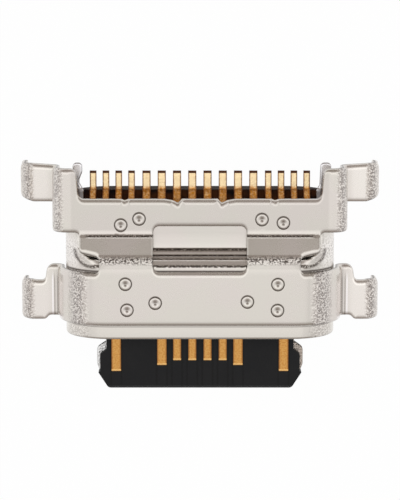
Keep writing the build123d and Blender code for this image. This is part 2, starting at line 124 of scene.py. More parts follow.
class Graph:
    """A material's node tree, with one method that adds any node."""

    def __init__(self, name: str, tree: bpy.types.NodeTree | None = None) -> None:
        """Start an empty tree.

        Args:
            name: Name of the new material, where no tree is given.
            tree: A tree to fill instead, such as the world's.
        """
        if tree is None:
            self.material = bpy.data.materials.new(name)
            self.material.use_nodes = True
            tree = self.material.node_tree
        self.tree = tree
        self.tree.nodes.clear()

    def node(self, kind: str, inputs: dict, output: str | int = 0, **settings: Any) -> Value:
        """Add a node.

        Args:
            kind: The node's Blender type.
            inputs: Socket name or number to a value, a wrapped socket or None.
            output: Name or number of the output that is returned.
            settings: Attributes that are set before its sockets.

        Returns:
            The wrapped output socket.
        """
        made = self.tree.nodes.new(kind)
        for key, value in settings.items():
            setattr(made, key, value)
        for key, value in inputs.items():
            if isinstance(value, Value):
                self.tree.links.new(value.socket, made.inputs[key])
            elif value is not None:
                made.inputs[key].default_value = value
        return Value(self, made.outputs[output] if len(made.outputs) else None)

    def math(self, operation: str, first: Any, second: Any = None) -> Value:
        """One Math node on one or two numbers or sockets."""
        return self.node("ShaderNodeMath", {0: first, 1: second}, operation=operation)

    def blend(self, factor: Any, first: Any, second: Any, mode: str = "MIX") -> Value:
        """Mix two colours.

        Args:
            factor: Share of the second colour, as a number or a wrapped socket.
            first: A wrapped socket, or red, green and blue.
            second: The same.
            mode: Blender's way of mixing.

        Returns:
            The mixed colour.
        """
        one, two = (part if isinstance(part, Value) else (*part, 1.0) for part in (first, second))
        inputs = {0: factor, 6: one, 7: two}
        return self.node("ShaderNodeMix", inputs, 2, data_type="RGBA", blend_type=mode)

    def coat(self, colour: Value, layers: Sequence[tuple[Value, Any]]) -> Value:
        """Lay colours over another in order.

        Args:
            colour: The lowest colour.
            layers: Factor and colour of each layer.

        Returns:
            The colour on top.
        """
        for factor, paint in layers:
            colour = self.blend(factor, colour, paint)
        return colour

    def parts(self, vector: Value) -> tuple[Value, Value, Value]:
        """X, Y and Z of a vector."""
        x = self.node("ShaderNodeSeparateXYZ", {0: vector}, "X")
        return x, x.beside("Y"), x.beside("Z")

    def place(self) -> tuple[Value, Value, Value, Value]:
        """Object coordinates in millimetres.

        Returns:
            The vector, and its X, Y and Z.
        """
        metres = self.node("ShaderNodeTexCoord", {}, "Object")
        scaled = self.node("ShaderNodeVectorMath", {0: metres, "Scale": 1 / MM}, operation="SCALE")
        return scaled, *self.parts(scaled)

    def noise(self, place: Value, size: float, detail: float = 2.0, roughness: float = 0.5) -> Value:
        """Noise from 0 to 1 whose features are about a size, in millimetres."""
        inputs = {"Vector": place, "Scale": 1 / size, "Detail": detail, "Roughness": roughness}
        return self.node("ShaderNodeTexNoise", inputs)

    def stretched(self, place: Value, along: float) -> Value:
        """Coordinates with Y scaled by a factor, so that features on them are longer that way."""
        return self.node("ShaderNodeVectorMath", {0: place, 1: (1.0, along, 1.0)}, operation="MULTIPLY")

    def painted_shading(self) -> Value:
        """Painted shading that the mesh carries: painted shade above 0, and a painted highlight below 0."""
        return self.node("ShaderNodeAttribute", {}, "Fac", attribute_name="painted_shading")

    def finish(self, constants: dict, colour: Value, roughness: Value, height: Value,
               depth: float) -> Material:
        """Close the tree with one Principled shader.

        Args:
            constants: Sockets that are the same all over.
            colour: Base colour.
            roughness: Roughness.
            height: Relief from 0 to 1.
            depth: What a height of 1 stands for, in millimetres.

        Returns:
            The material.
        """
        bump = self.node("ShaderNodeBump", {"Strength": 1.0, "Distance": depth * MM, "Height": height})
        inputs = {**constants, "Base Color": colour, "Roughness": roughness, "Normal": bump}
        self.node("ShaderNodeOutputMaterial", {"Surface": self.node("ShaderNodeBsdfPrincipled", inputs)})
        return self.material


class BendZone(Enum):
    """The sheet whose bends left its plating grained. Each value is the finish's method that draws them."""

    COVER = "cover"
    SHELL = "shell"
    PLATE = "plate"


@dataclass
class BendLook:
    """What bending left on a sheet, with painted shade, as masks, and the coats of colour under and over its
    grain, some of them painted light.

    The masks are those of the broad grained bends, and of painted shade: flecked along the creases and unbroken
    along the dark lines.
    """

    broad: Value
    # Masks of painted shade: flecked along the creases, unbroken along the lines.
    crease: Value
    line: Value
    under: Sequence[tuple[Value, Any]]
    over: Sequence[tuple[Value, Any]] = ()


@dataclass(frozen=True)
class NickelFinish:
    """Nickel plate over bent sheet: faintly mottled, with an orange-peel grain where the sheet was bent."""

    name: str
    zone: BendZone
    tint: Colour = (0.70, 0.665, 0.61)
    warm: Colour = (0.71, 0.66, 0.62)
    dark: Colour = (0.46, 0.42, 0.40)
    bright: Colour = (0.99, 0.94, 0.89)
    # Colours of painted shade: in creases, dark lines and crevices, and on cut faces and in weld marks.
    painted_shade: Colour = (0.10, 0.08, 0.07)
    shaded: Colour = (0.06, 0.05, 0.045)
    # Colours of painted light: the shell's front band and the plate's rear half lighter, highlights on cheeks
    # and walls.
    front_band_light: Colour = (0.735, 0.695, 0.64)
    cheek_highlight: Colour = (1.0, 0.97, 0.95)
    wall: Colour = (1.0, 0.96, 0.97)
    right_half: Colour = (0.80, 0.74, 0.67)
    rear_half_light: Colour = (0.95, 0.93, 0.94)
    lugs: tuple[Colour, Colour] = ((1.0, 1.0, 0.99), (0.42, 0.33, 0.26))
    gloss: float = 0.27
    most: float = 0.95
    relief: float = 0.08

    def cover(self, x: Value, y: Value, z: Value, fleck: Value) -> BendLook:
        """Look of the cover: grained round its sides, arms and legs and on the ramp's lip, with painted shade
        in its folds and painted light on its flanges and band walls.

        Args:
            x: Distance across in millimetres.
            y: Distance from the mouth in millimetres.
            z: Height in millimetres.
            fleck: Noise as fine as the grain of a bend.

        Returns:
            Its masks and coats.
        """
        side, top, front = abs(x), z.step(0.9, 1.2), y.step(2.0, 1.6)
        band = side.near(3.95, 0.42) * y.step(2.4, 2.2)
        arm = side.near(4.60, 0.26) * y.step(3.2, 3.4) * z.step(0.2, 0.6)
        leg = side.near(5.66, 0.28)
        # Painted shade: two dark lines along the concave bend of each front foot.
        foot = side.humps((4.785, 0.03, 0.6), (4.69, 0.035, 0.5)) * z.step(0.5, 0.2) * front
        # The ramp's lip: grained, with flecked painted shade.
        lip = y.near(2.60, 0.19) * side.step(3.9, 3.5) * top
        # Painted shade along the fold at the foot of the ramp, flecked like its grain.
        crease = y.near(3.345, 0.06) * side.step(3.75, 3.6) * top
        # Faint painted shade over the low level behind the ramp.
        low = z.near(1.26, 0.02) * side.step(4.2, 4.1) * 0.10
        # Painted light: the flanges lighter, more on the right.
        flange = side.step(4.7, 5.1) * (0.3 + 0.15 * x.step(-1.0, 1.0))
        lit = (side.near(4.53, 0.13) * z.step(1.0, 0.5) * 0.7 + side.near(4.85, 0.04)) * front * 0.9
        return BendLook(band * 1.3 + arm + leg + lip * 0.6, crease, low + foot + lip * fleck.step(0.52, 0.42),
                        [(flange, self.bright), (lit, self.wall)])

    def shell(self, x: Value, y: Value, z: Value, fleck: Value) -> BendLook:
        """Look of the shell: grained cheeks with painted highlights, painted shade in creases over its step, in
        a brow round its ends and at its front edge, painted shadows of the cover's edges, and a front band
        painted lighter.

        Args:
            x: Distance across in millimetres.
            y: Distance from the mouth in millimetres.
            z: Height in millimetres.
            fleck: Noise as fine as the grain of a bend.

        Returns:
            Its masks and coats.
        """
        side = abs(x)
        front = side.near(4.0, 0.6) * z.step(0.3, 0.8) * y.step(2.4, 2.1) * 0.5
        side_grain = side.step(3.5, 3.9) * y.near(2.8, 0.6) * 0.35
        # Painted shade along the bends of the step, flecked like their grain.
        creases = y.humps((2.875, 0.065, 1.0), (2.70, 0.04, 0.8), (2.59, 0.045, 0.7), (2.38, 0.05, 1.0))
        creases = creases * z.step(0.8, 0.95) * side.step(3.5, 3.3)
        # Painted shade in a brow round each end of the step.
        brow = (abs((side - 3.35) / 0.70) ** 2.5 + abs((y - 2.95) / 0.59) ** 2.5).near(1.0, 0.36)
        brow = brow * side.step(3.3, 3.4) * y.step(2.95, 2.85) * z.step(0.0, 0.3) * 0.9
        # Painted shadows cast by the cover's edges on the shell's top and sides, and painted shade along its
        # front edge.
        edge_shadows = y.humps((2.22, 0.06, 1.0), (0.41, 0.035, 0.5)) * z.step(-0.5, -0.2)
        edge_shadows = edge_shadows + y.step(0.05, -0.02) * 0.4
        # Painted shade: a faint stripe across the middle of the step.
        step_shade = y.near(2.69, 0.09) * 0.35 * side.step(2.0, 1.9) * z.step(0.0, 0.3)
        # Painted highlights on the rolled sides near the step, flecked like their grain.
        cheek_highlight = side.step(3.85, 4.05) * y.near(2.8, 0.8) * fleck.step(0.33, 0.45) * 0.65
        # Coats: painted light that makes the front band lighter, then painted highlights on the cheeks.
        return BendLook(front + side_grain, creases + brow, edge_shadows + step_shade,
                        [(y.step(0.5, 0.35), self.front_band_light), (cheek_highlight, self.cheek_highlight)])

    def plate(self, x: Value, y: Value, z: Value, fleck: Value) -> BendLook:
        """Look of the middle plate: rough lugs, unlike on both sides, painted shade in the crevices round its
        legs, and a rear half painted lighter.

        Args:
            x: Distance across in millimetres.
            y: Distance from the mouth in millimetres.
            z: Height in millimetres; not used.
            fleck: Noise as fine as the grain of a bend; not used.

        Returns:
            Its masks and coats.
        """
        right, lug = x.step(-1.0, 1.0), y.step(0.0, -0.3)
        # Painted shade in the crevices along the legs, and over the plate ahead of them.
        crevice_shade = abs(x).near(4.0, 0.09) * y.step(5.4, 4.9) * 0.8 + y.step(4.72, 4.55)
        # Coats: a warmer right half, and painted light that makes the rear half lighter.
        return BendLook(lug * 0.4, y * 0.0, crevice_shade * y.step(2.0, 3.0) * 0.8,
                        [(right, self.right_half), (y.step(1.0, 3.0), self.rear_half_light)],
                        [(lug * 0.65, x.graph.blend(right, *self.lugs))])

    def material(self) -> Material:
        """Build the material.

        Returns:
            The material.
        """
        graph = Graph(self.name)
        place, x, y, z = graph.place()
        grain = graph.noise(place, 0.075, 2.0, 0.7)
        fleck = graph.noise(place, 0.058, 1.0)
        cloud = graph.noise(place, 1.3, 3.0)
        fine = graph.noise(graph.stretched(place, 0.35), 0.03, 2.0)
        look: BendLook = getattr(self, self.zone.value)(x, y, z, fleck)
        grained = look.broad * (0.78 + 0.22 * x.step(-1.0, 1.0))
        # Painted shade: flecked along the creases like their grain, unbroken along the dark lines.
        painted_shade = look.crease * fleck.step(0.34, 0.50) + look.line
        spots = graph.blend(fleck.step(0.42, 0.60), self.dark, self.bright)
        colour = graph.blend(cloud.step(0.35, 0.65), self.tint, self.warm)
        colour = graph.coat(colour, [
            *look.under, (grained.at_most(self.most), spots),
            *look.over, (painted_shade.at_most(self.most), self.painted_shade),
            # Painted shade and highlights that the mesh carries.
            (graph.painted_shading() * (0.75 + 0.5 * fleck), self.shaded)])
        roughness = self.gloss + 0.05 * (fine - 0.5) + 0.10 * (cloud - 0.5) + 0.06 * look.broad
        height = 0.008 * fine + look.broad * (grain + 0.4 * fleck) + 0.4 * look.crease * fleck
        return graph.finish({"Metallic": 1.0}, colour, roughness, height, self.relief)


@dataclass(frozen=True)
class GoldFinish:
    """Gold flash over copper alloy, with browner cut ends, painted shade on the tails' slope from the resin and
    along the edges, and painted highlights on the pads' front ends.
    """

    name: str
    pad: Colour = (0.66, 0.355, 0.105)
    pad_wear: Colour = (0.52, 0.22, 0.05)
    # Colour of painted shade along the pads' edges.
    pad_edge_shade: Colour = (0.36, 0.15, 0.045)
    # Colour of a painted highlight on the pads' front ends.
    pad_front_highlight: Colour = (0.90, 0.56, 0.22)
    tail: Colour = (1.0, 0.79, 0.48)
    # Brown of the painted shade on the tails' slope and its darker flecks; the brown is also used for random
    # blots.
    root: Colour = (0.70, 0.29, 0.04)
    root_shade_fleck: Colour = (0.36, 0.12, 0.02)
    # Colour of painted shade along the tails' edges.
    tail_edge_shade: Colour = (0.24, 0.085, 0.03)
    cut: Colour = (0.07, 0.025, 0.012)
    cut_y: Pair = (5.175, 5.20)
    relief: float = 0.012

    def material(self) -> Material:
        """Build the material.

        Returns:
            The material.
        """
        graph = Graph(self.name)
        place, _, y, _ = graph.place()
        blot = graph.noise(graph.stretched(place, 0.3), 0.09, 3.0, 0.7)
        fine = graph.noise(place, 0.05, 2.0)
        painted_shading, rear = graph.painted_shading(), y.step(3.0, 4.0)
        # Painted shade on the slope where the tails step down from the resin, mottled with darker flecks.
        root = y.step(4.2, 4.3) * y.step(4.80, 4.66)
        # Painted shade along the contacts' rounded edges, weaker on the tails.
        rim = (painted_shading * (0.5 + fine) - 0.15 * rear).step(0.15, 0.95)
        colour = graph.coat(graph.blend(y.step(2.0, 3.0), self.pad, self.tail), [
            (root * (0.6 + 0.4 * fine.step(0.40, 0.60)), self.root),
            (root * blot.step(0.45, 0.60) * 0.6, self.root_shade_fleck),
            (fine.step(0.45, 0.60) * 0.7 * y.step(4.0, 3.0), self.pad_wear),
            # Random blots in the same brown, fainter on the tails' ends.
            (blot.step(0.50, 0.75) * (0.4 - 0.22 * y.step(4.6, 4.9)), self.root),
            (rim * 0.88, graph.blend(rear, self.pad_edge_shade, self.tail_edge_shade)),
            # Painted highlight on the pads' rounded front ends.
            (painted_shading.step(-0.2, -0.9) * 0.7, self.pad_front_highlight),
            (y.step(*self.cut_y), self.cut)])
        roughness = 0.30 + 0.16 * (blot - 0.5)
        return graph.finish({"Metallic": 1.0}, colour, roughness, 0.6 * blot + 0.4 * fine, self.relief)


@dataclass(frozen=True)
class ResinFinish:
    """Black moulded resin with fine ribs ahead of the contacts, where the mould held them, painted shade in
    their grooves and a painted reflection of the gold tails on its rear.
    """

    name: str
    base: Colour = (0.0038, 0.0040, 0.0052)
    pale: Colour = (0.0058, 0.0058, 0.0066)
    # Colour of painted shade in the rib grooves.
    rib_shade: Colour = (0.0006, 0.0006, 0.0006)
    # Colours of painted reflections of the gold tails: on the rear part, and on the rear face.
    rear: Colour = (0.13, 0.040, 0.022)
    rear_face_reflection: Colour = (0.035, 0.021, 0.017)
    shine: float = 0.28
    rib_x: tuple[float, ...] = (-2.75, -1.25, -0.75, -0.25, 0.25, 0.75, 1.25, 2.75)
    rib_half: float = 0.17
    relief: float = 0.012

    def material(self) -> Material:
        """Build the material.

        Returns:
            The material.
        """
        graph = Graph(self.name)
        place, x, y, _ = graph.place()
        cloud = graph.noise(place, 0.5, 3.0)
        grain = graph.noise(place, 0.035, 2.0, 0.6)
        ribs = sum((abs(x - centre).near(self.rib_half, 0.045) for centre in self.rib_x), grain * 0.0)
        ribs = ribs * y.step(0.2, 0.1) * y.step(-1.80, -1.74)
        # Coats: painted shade in the rib grooves, a mottled painted reflection of the gold tails on the rear
        # part, and another on the rear face.
        colour = graph.coat(graph.blend(cloud.step(0.4, 0.7), self.base, self.pale), [
            (ribs * 0.9, self.rib_shade), (y.step(4.305, 4.34) * cloud.step(0.25, 0.65), self.rear),
            (y.step(4.61, 4.635), self.rear_face_reflection)])
        roughness = 0.55 + 0.12 * (grain - 0.5)
        constants = {"Specular IOR Level": self.shine}
        return graph.finish(constants, colour, roughness, 0.3 * grain - 1.0 * ribs, self.relief)


@dataclass(frozen=True)
class Run:
    """A stretch of a profile: its length and the angle that it turns through, left being positive."""

    length: float
    turn: float = 0.0


def unit(vectors: np.ndarray) -> np.ndarray:
    """Vectors scaled to length 1, with their parts along the last axis."""
    return vectors / np.linalg.norm(vectors, axis=-1)[..., None]


def around(angle: np.ndarray) -> Points:
    """Places on a circle of radius 1."""
    return np.stack((np.cos(angle), np.sin(angle)), -1)


def bell(value: np.ndarray, centre: float, width: float) -> np.ndarray:
    """Bell curve of height 1: e to the power of minus the squared distance from the centre in widths."""
    return np.exp(-(((value - centre) / width) ** 2))


def spread(*spans: tuple[float, float, int]) -> np.ndarray:
    """Evenly spaced values over each span, given by its first and last value and their number."""
    return np.concatenate([np.linspace(*span) for span in spans])


def bend(radius: float, degrees: float) -> Run:
    """A run along an arc, from its radius and its turn in degrees."""
    return Run(radius * math.radians(abs(degrees)), math.radians(degrees))


@dataclass
class Profile:
    """A plane curve of straight runs and arcs, read at a distance along it."""

    start: Pair
    heading: float
    runs: Sequence[Run]

    def __post_init__(self) -> None:
        """Work out where each run starts: the sum of the lengths, turns and steps before it."""
        self.lengths = np.array([run.length for run in self.runs])
        self.curve = np.array([run.turn / run.length for run in self.runs])
        turns = np.array([run.turn for run in self.runs])
        self.at = np.concatenate(([0.0], np.cumsum(self.lengths)))
        self.angle = self.heading + np.concatenate(([0.0], np.cumsum(turns)))
        steps = self._step(self.angle[:-1], self.curve, self.lengths)
        self.origin = np.array(self.start) + np.vstack((np.zeros(2), np.cumsum(steps, axis=0)))

    @staticmethod
    def _step(angle: np.ndarray, curve: np.ndarray, distance: np.ndarray) -> np.ndarray:
        """Chord after a distance: the integral of the heading's cosine and sine.

        Args:
            angle: Heading at the start.
            curve: Turn per millimetre.
            distance: Length along the curve.

        Returns:
            Steps along both axes.
        """
        flat = np.abs(curve) < STRAIGHT
        safe = np.where(flat, 1.0, curve)
        end = angle + curve * distance
        straight = distance[..., None] * around(angle)
        arc = np.stack(((np.sin(end) - np.sin(angle)) / safe, (np.cos(angle) - np.cos(end)) / safe), -1)
        return np.where(flat[..., None], straight, arc)

    def points(self, distance: np.ndarray) -> Points:
        """Points at distances along the curve, which goes straight on past both its ends."""
        index = np.clip(np.searchsorted(self.at, distance, side="right") - 1, 0, len(self.runs) - 1)
        return self.origin[index] + self._step(self.angle[index], self.curve[index], distance - self.at[index])

    def stations(self, straight: float, turned: float, ends: Pair | None = None) -> np.ndarray:
        """Distances that are far apart on straight runs and close together on arcs.

        Args:
            straight: Gap on straight runs.
            turned: Gap on arcs.
            ends: Distances between which they are wanted, where not all are.

        Returns:
            The distances in order.
        """
        gaps = np.where(self.curve == 0.0, straight, turned)
        counts = np.maximum(1, np.ceil(self.lengths / gaps)).astype(int)
        parts = [np.linspace(a, b, n, endpoint=False) for a, b, n in zip(self.at[:-1], self.at[1:], counts)]
        every = np.concatenate((*parts, self.at[-1:]))
        return every if ends is None else every[(every > ends[0]) & (every < ends[1])]


def hinge(distance: np.ndarray, width: float | np.ndarray) -> np.ndarray:
    """A line that starts to rise at 0 with slope 1, rounded by a parabola over a width."""
    inside = np.clip(distance + width / 2, 0, width)
    return inside**2 / (2 * width) + np.maximum(distance - width / 2, 0)


def descent(distance: np.ndarray, slopes: Sequence[Triple]) -> np.ndarray:
    """Drop below the start: a sum of rounded hinges, one at each slope's place, slope and rounding."""
    start, slope, width = np.array(slopes).T
    return (hinge(distance[:, None] - start, width) * np.diff(slope, prepend=0.0)).sum(1)


def lower_of(first: np.ndarray, second: np.ndarray, round_over: float) -> np.ndarray:
    """The lower of two heights, with the ridge where they cross rounded by a parabola."""
    overlap = np.maximum(round_over - np.abs(first - second), 0) / round_over
    return np.minimum(first, second) - overlap**2 * round_over / 4


def ring(corners: Sequence[Corner], gap: float = 0.06) -> Points:
    """Closed outline from corners with their radii.

    Each corner becomes the arc that touches both of its sides, and each straight run is split evenly.

    Args:
        corners: X, Y and radius of each corner, counter-clockwise round material.
        gap: Longest distance between points on a straight run.

    Returns:
        Points of the outline, shape (n, 2).
    """
    data = np.array(corners, float)
    spot, radius = data[:, :2], data[:, 2]
    back, ahead = unit(np.roll(spot, 1, 0) - spot), unit(np.roll(spot, -1, 0) - spot)
    half = np.arccos(np.clip((back * ahead).sum(1), -1, 1)) / 2
    reach = radius / np.tan(half)
    begin, end = spot + back * reach[:, None], spot + ahead * reach[:, None]
    middle = (back + ahead) / np.maximum(np.linalg.norm(back + ahead, axis=1), STRAIGHT)[:, None]
    centre = spot + middle * (radius / np.sin(half))[:, None]
    pieces = []
    for i in range(len(spot)):
        if radius[i] > 0:
            first = math.atan2(*(begin[i] - centre[i])[::-1])
            last = math.atan2(*(end[i] - centre[i])[::-1])
            sweep = (last - first + math.pi) % (2 * math.pi) - math.pi
            angles = first + sweep * np.linspace(0, 1, max(4, int(abs(sweep) / 0.2) + 1))
            pieces.append(centre[i] + radius[i] * around(angles))
        else:
            pieces.append(spot[i][None])
        following = begin[(i + 1) % len(spot)]
        count = int(np.linalg.norm(following - end[i]) / gap)
        pieces.append(end[i] + (following - end[i]) * np.linspace(0, 1, count + 2)[1:-1, None])
    return np.vstack(pieces)


def mirrored(right: Sequence[Corner], left: Sequence[Corner] | None = None) -> Points:
    """Outline from the corners of its right half and the mirror image of those or of others."""
    return ring([*right, *[(-x, y, radius) for x, y, radius in reversed(left or right)]])


def outward(outline: Points) -> Points:
    """Unit vectors out of the material, to the right of the way the outline runs."""
    along = unit(np.roll(outline, -1, 0) - np.roll(outline, 1, 0))
    return np.stack((along[:, 1], -along[:, 0]), 1)


def portions(points: Points, most: int = 2000) -> list[Points]:
    """Points split into parts of about a number each, so that a table of their pairs stays small."""
    return np.array_split(points, max(1, len(points) // most))


def inside(points: Points, outline: Points) -> np.ndarray:
    """Which points lie inside an outline, by counting the sides to their right.

    Args:
        points: Points, shape (n, 2).
        outline: Closed outline, shape (m, 2).

    Returns:
        True for each point inside.
    """
    first, second = outline, np.roll(outline, -1, 0)
    found = []
    for part in portions(points):
        x, y = part[:, :1], part[:, 1:]
        above = (first[:, 1] > y) != (second[:, 1] > y)
        rise = np.where(first[:, 1] == second[:, 1], 1.0, second[:, 1] - first[:, 1])
        crossing = first[:, 0] + (y - first[:, 1]) * (second[:, 0] - first[:, 0]) / rise
        found.append((above & (x < crossing)).sum(1) % 2 == 1)
    return np.concatenate(found)


def spaced(points: Points, others: Points, gap: float | np.ndarray) -> Points:
    """The points that are farther than a gap from each of the others, which may have a gap of its own."""
    away = [(((part[:, None] - others) ** 2).sum(2) - gap**2).min(1) for part in portions(points)]
    return points[np.concatenate(away) > 0]


def crossed(places: Sequence[Points]) -> Points:
    """Unit normals: the cross product of the slopes between places nudged along X and along Y."""
    return unit(np.cross(places[0] - places[1], places[2] - places[3]))


def added(name: str, data: Any) -> bpy.types.Object:
    """Make an object and link it to the scene.

    Args:
        name: Its name.
        data: Its mesh or camera.

    Returns:
        The object.
    """
    made = bpy.data.objects.new(name, data)
    bpy.context.scene.collection.objects.link(made)
    return made


def piece(name: str, vertices: Points, faces: list, normals: Points | None, finish: Material,
          node: str, painted_shading: np.ndarray) -> None:
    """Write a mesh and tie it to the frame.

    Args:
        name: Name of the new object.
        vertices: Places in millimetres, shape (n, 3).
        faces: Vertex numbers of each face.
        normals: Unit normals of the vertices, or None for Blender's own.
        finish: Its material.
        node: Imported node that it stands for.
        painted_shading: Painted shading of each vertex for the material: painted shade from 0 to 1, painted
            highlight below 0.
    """
    mesh = bpy.data.meshes.new(name)
    mesh.from_pydata((vertices * MM).tolist(), [], faces)
    mesh.polygons.foreach_set("use_smooth", np.ones(len(mesh.polygons), bool))
    if normals is not None:
        mesh.normals_split_custom_set_from_vertices(normals.tolist())
    mesh.attributes.new("painted_shading", "FLOAT", "POINT").data.foreach_set("value", painted_shading.astype(np.float32))
    mesh.materials.append(finish)
    mesh.validate()
    made = added(name, mesh)
    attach(made, BODY)
    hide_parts(node)
    LOG.info("%s: %d vertices, %d faces", name, len(mesh.vertices), len(mesh.polygons))


@dataclass(frozen=True)
class CutEdge:
    """How a sheet's cut edge is rounded: a shallow roll above, as the die leaves it, and a round below.

    The roll is narrower on edges that face sideways and fuller on those that face the rear. The sheared face
    gets painted shade, darkest right under it.
    """

    width: float = 0.15
    sideways: float = 0.45
    depth: float = 0.06
    fuller: float = 1.2
    wider: float = 0.3
    lower: float = 0.02
    room_share: float = 0.75
    steps: int = 8
    # Painted shade on the sheared face: its strength, how far below the roll it peaks, and its width.
    painted_shading: float = 0.8
    shade_below: float = 0.01
    shade_width: float = 0.035

    def sizes(self, out: Points, free: np.ndarray) -> tuple[np.ndarray, np.ndarray]:
        """Width and depth of the roll at border points.

        The width grows with the square of the outward Y, and both grow again with its part to the rear.

        Args:
            out: Outward unit vectors in the flat sheet.
            free: Radius of the largest circle that fits inside at each point.

        Returns:
            Widths and depths, as columns.
        """
        rear = np.maximum(out[:, 1], 0) ** 2
        narrowed = self.sideways + (1 - self.sideways) * out[:, 1] ** 2
        width = self.width * narrowed * (1 + self.wider * rear)
        depth = self.depth * (1 + self.fuller * rear)
        return np.minimum(width, self.room_share * free)[:, None], depth[:, None]

    def rows(self, thickness: float, width: np.ndarray, depth: np.ndarray) -> list[tuple[np.ndarray, ...]]:
        """Rows of a quarter ellipse, a straight wall and a quarter circle, from the upper side down.

        Args:
            thickness: Thickness of the sheet.
            width: Width of the roll at each border point.
            depth: Its depth there.

        Returns:
            Inset, depth, outward and upward parts of the normal, and painted shade of each row.
        """
        zero, made = width * 0, []
        for turn in np.linspace(0, math.pi / 2, self.steps):
            sine, cosine = math.sin(turn), math.cos(turn)
            made.append((width * (1 - sine), depth * (1 - cosine), depth * sine, width * cosine))
        for share in (0.25, 0.5, 0.75):
            made.append((zero, depth * (1 - share) + (thickness - self.lower) * share, zero + 1, zero))
        for turn in np.linspace(math.pi / 2, math.pi, 4):
            sine, cosine = math.sin(turn), math.cos(turn)
            made.append((zero + self.lower * (1 - sine), zero + thickness - self.lower * (1 + cosine),
                         zero + sine, zero + cosine))
        return [(*row, self.painted_shading * bell(row[1] - depth, self.shade_below, self.shade_width)) for row in made]


def room(border: Points, out: Points) -> np.ndarray:
    """Radius of the largest circle inside the material that touches the border at each of its points.

    Args:
        border: Points of the outlines.
        out: Outward unit vectors there.

    Returns:
        The radii.
    """
    apart = border[None] - border[:, None]
    along = -(apart * out[:, None]).sum(2)
    return np.where(along > TINY, (apart**2).sum(2) / (2 * np.maximum(along, TINY)), FAR).min(1)


@dataclass
class FormedSheet:
    """A stamped sheet, bent to its form.

    The flat outline and the points inside it are joined into triangles, carried onto the formed upper surface,
    and again one thickness below it. The cut edge between them is the outline carried through the rows of a
    rounded edge profile.
    """

    outlines: Sequence[Points]
    filling: Points
    thickness: float
    form: Callable[[Points], Points]
    edge: CutEdge = field(default_factory=CutEdge)
    relief: Callable[[Points], np.ndarray] | None = None
    # Painted shade of places on the upper side, such as in the weld marks.
    upper_shade: Callable[[Points], np.ndarray] | None = None
    clear: float = 0.04

    def surface(self, flat: Points, marked: bool = False) -> tuple[Points, Points]:
        """Places and unit normals: the form, less any relief along its normal where the side is marked.

        Args:
            flat: Points in the flat sheet.
            marked: Whether this is the side that has the relief.

        Returns:
            Places in millimetres and normals.
        """
        spots = [flat + NUDGE * np.array(way) for way in ((1, 0), (-1, 0), (0, 1), (0, -1))]
        places = [self.form(spot) for spot in spots]
        normal = crossed(places)
        if not marked or self.relief is None:
            return self.form(flat), normal
        sunk = [place - self.relief(spot)[:, None] * normal for place, spot in zip(places, spots)]
        return self.form(flat) - self.relief(flat)[:, None] * normal, crossed(sunk)

    def triangles(self, flat: Points, sizes: Sequence[int]) -> np.ndarray:
        """Join the flat points into triangles that keep the outlines.

        Args:
            flat: The outlines' points, then the filling.
            sizes: How many points each outline has.

        Returns:
            Vertex numbers of each triangle, counter-clockwise, shape (n, 3).
        """
        ends = np.cumsum(sizes)
        edges = []
        for start, end in zip(ends - sizes, ends):
            numbers = np.arange(start, end)
            edges += np.stack((numbers, np.roll(numbers, -1)), 1).tolist()
        found = delaunay_2d_cdt([Vector(p) for p in flat.tolist()], edges, [], 0, JOINED)
        number = np.array([origin[0] for origin in found[3]])
        faces = number[np.array(found[2])]
        middles = flat[faces].mean(1)
        keep = inside(middles, flat[: ends[0]])
        for start, end in zip(ends[:-1], ends[1:]):
            keep &= ~inside(middles, flat[start:end])
        faces = faces[keep]
        one, two = flat[faces[:, 1]] - flat[faces[:, 0]], flat[faces[:, 2]] - flat[faces[:, 0]]
        turned = one[:, 0] * two[:, 1] - one[:, 1] * two[:, 0] < 0
        faces[turned] = faces[turned][:, ::-1]
        return faces

    def build(self, name: str, finish: Material, slot: str, node: str) -> None:
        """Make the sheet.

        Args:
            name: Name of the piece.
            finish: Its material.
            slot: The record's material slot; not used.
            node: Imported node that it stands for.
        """
        sizes = [len(outline) for outline in self.outlines]
        border = np.vstack(list(self.outlines))
        out = np.vstack([outward(outline) for outline in self.outlines])
        width, roll = self.edge.sizes(out, room(border, out))
        rows = self.edge.rows(self.thickness, width, roll)
        filling = self.filling[inside(self.filling, self.outlines[0])]
        for hole in self.outlines[1:]:
            filling = filling[~inside(filling, hole)]
        filling = spaced(filling, border, width[:, 0] + self.clear)
        places, normals = [], []
        for far, deep, sideways, upright, _ in rows:
            flat = border - far * out
            place, normal = self.surface(flat)
            side = unit(self.form(flat + NUDGE * out) - self.form(flat - NUDGE * out))
            places.append(place - deep * normal)
            normals.append(unit(upright * normal + sideways * side))
        count = len(border)
        top, top_normal = self.surface(filling, True)
        low, low_normal = self.surface(filling)
        faces = self.triangles(np.vstack((border - width * out, filling)), sizes)
        base = len(rows) * count
        above = np.where(faces < count, faces, faces - count + base)
        below = np.where(faces < count, faces + base - count, faces - count + base + len(filling))
        ends = np.cumsum(sizes)
        following = np.concatenate([np.roll(np.arange(s), -1) + e - s for s, e in zip(sizes, ends)])
        this = np.arange(count)
        quads = [np.stack((this + r * count, this + (r + 1) * count, following + (r + 1) * count,
                           following + r * count), 1) for r in range(len(rows) - 1)]
        vertices = np.vstack((*places, top, low - self.thickness * low_normal))
        every = np.vstack((*normals, top_normal, -low_normal))
        joined = above.tolist() + below[:, ::-1].tolist() + np.vstack(quads).tolist()
        # Painted shade: on the cut edge's rows, and in the weld marks on the upper side only.
        marks = np.zeros(len(filling)) if self.upper_shade is None else self.upper_shade(filling)
        shaded = np.concatenate((*[row[4][:, 0] for row in rows], marks, np.zeros(len(filling))))
        piece(name, vertices, joined, every, finish, node, shaded)


def lattice(across: np.ndarray, along: np.ndarray) -> Points:
    """Every pair of an X and a Y."""
    return np.stack(np.meshgrid(across, along), -1).reshape(-1, 2)


def both_sides(values: np.ndarray) -> np.ndarray:
    """Values with their mirror images, in order."""
    return np.unique(np.concatenate((-values, values)))


